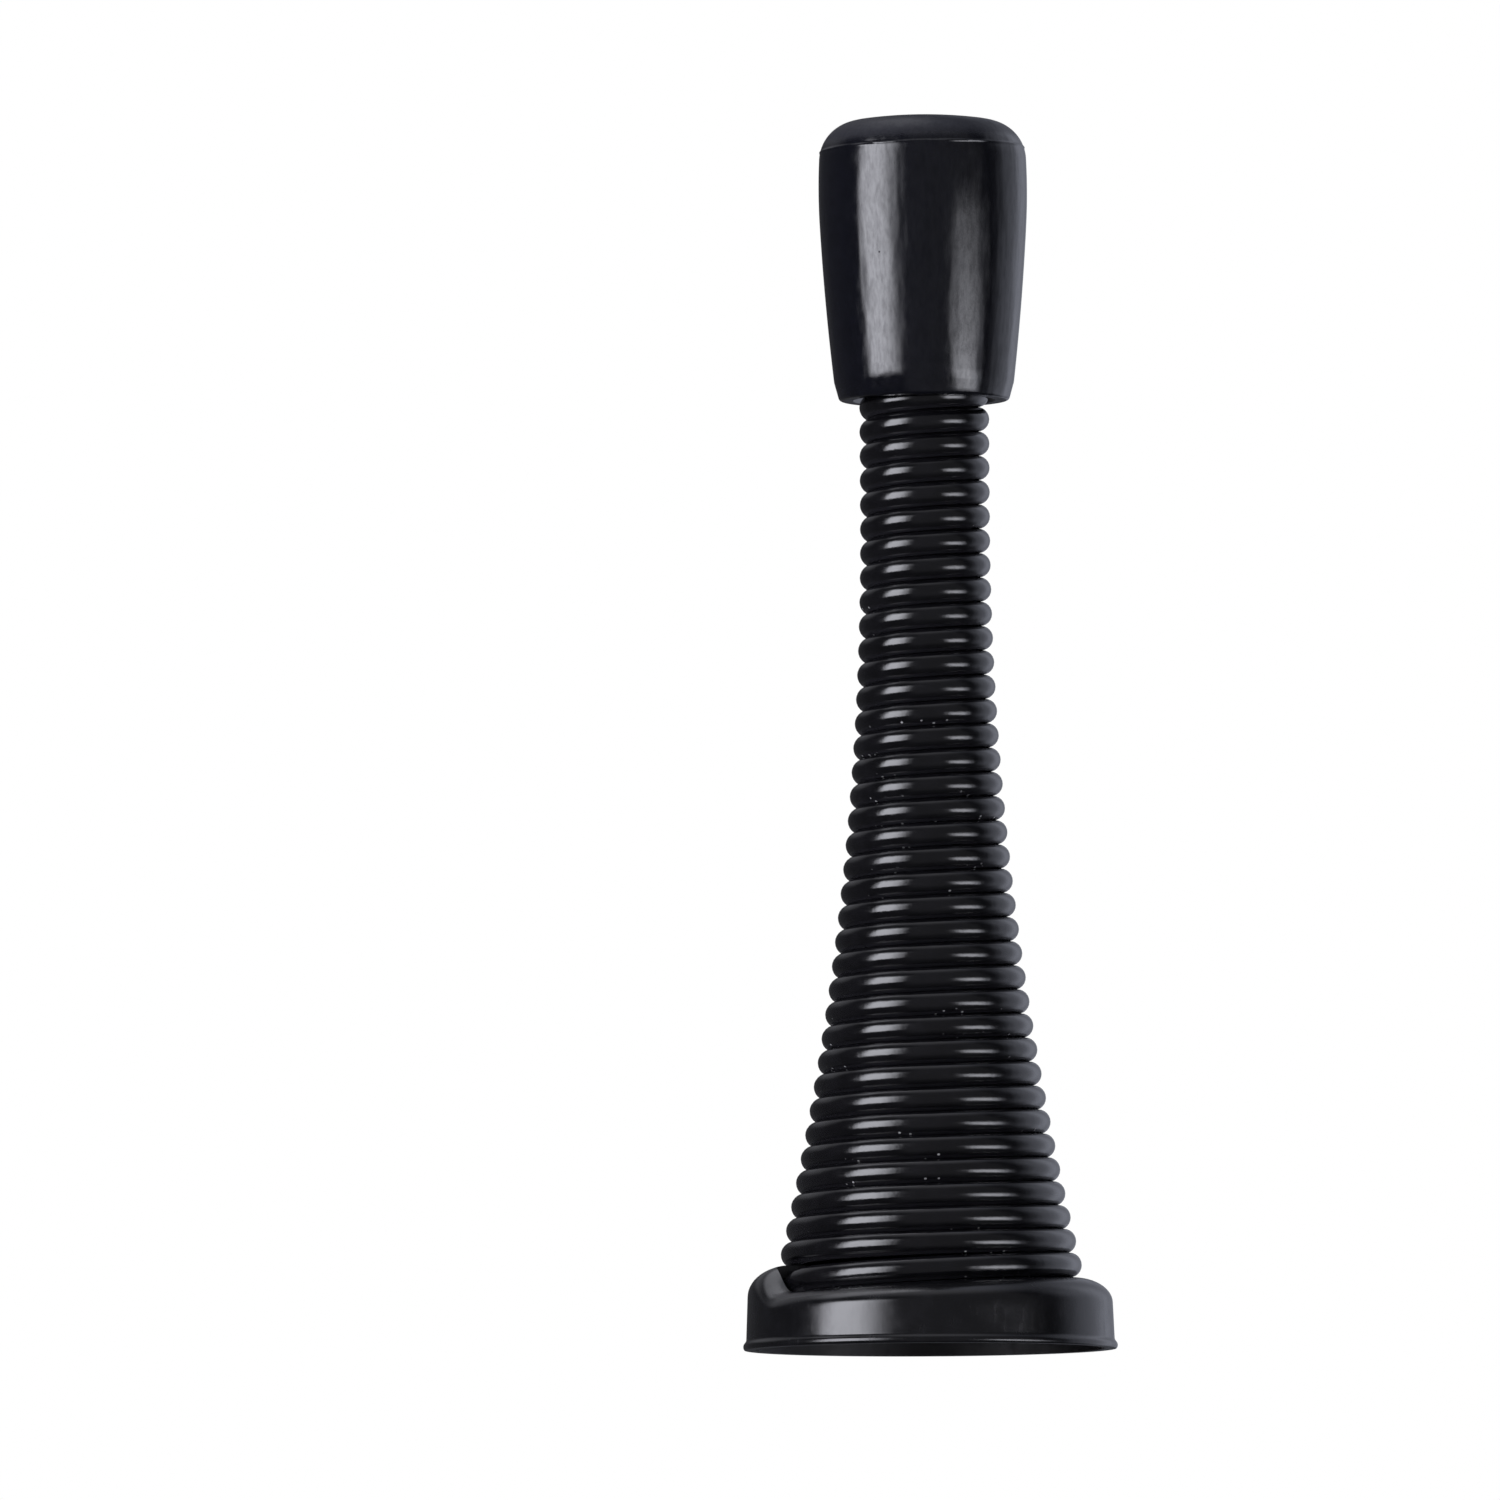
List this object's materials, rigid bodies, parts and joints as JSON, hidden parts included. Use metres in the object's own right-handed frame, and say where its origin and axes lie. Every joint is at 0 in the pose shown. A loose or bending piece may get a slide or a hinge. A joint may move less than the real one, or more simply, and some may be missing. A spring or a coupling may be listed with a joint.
{
  "type": "spring door stop",
  "caption": "Flared close-wound spring between a stamped, screw-fixed base cap and a moulded bumper tip; it stops a door before it meets the wall.",
  "frame": {"origin": "centre of the cap's rim plane, where the cap meets the skirting or wall", "axes": "+Z along the spring's axis from the cap to the tip; -Y is the side that the picture shows, +X its right"},
  "size_m": [0.0242, 0.0242, 0.08],
  "materials": {
    "spring_enamel": "gloss black enamel on steel wire",
    "cap_enamel": "gloss black enamel on stamped sheet",
    "tip_rubber": "smooth glossy black moulding"
  },
  "bodies": {
    "root": {"spring": "spring_enamel", "base_cap": "cap_enamel", "rubber_tip": "tip_rubber"}
  },
  "joints": []
}
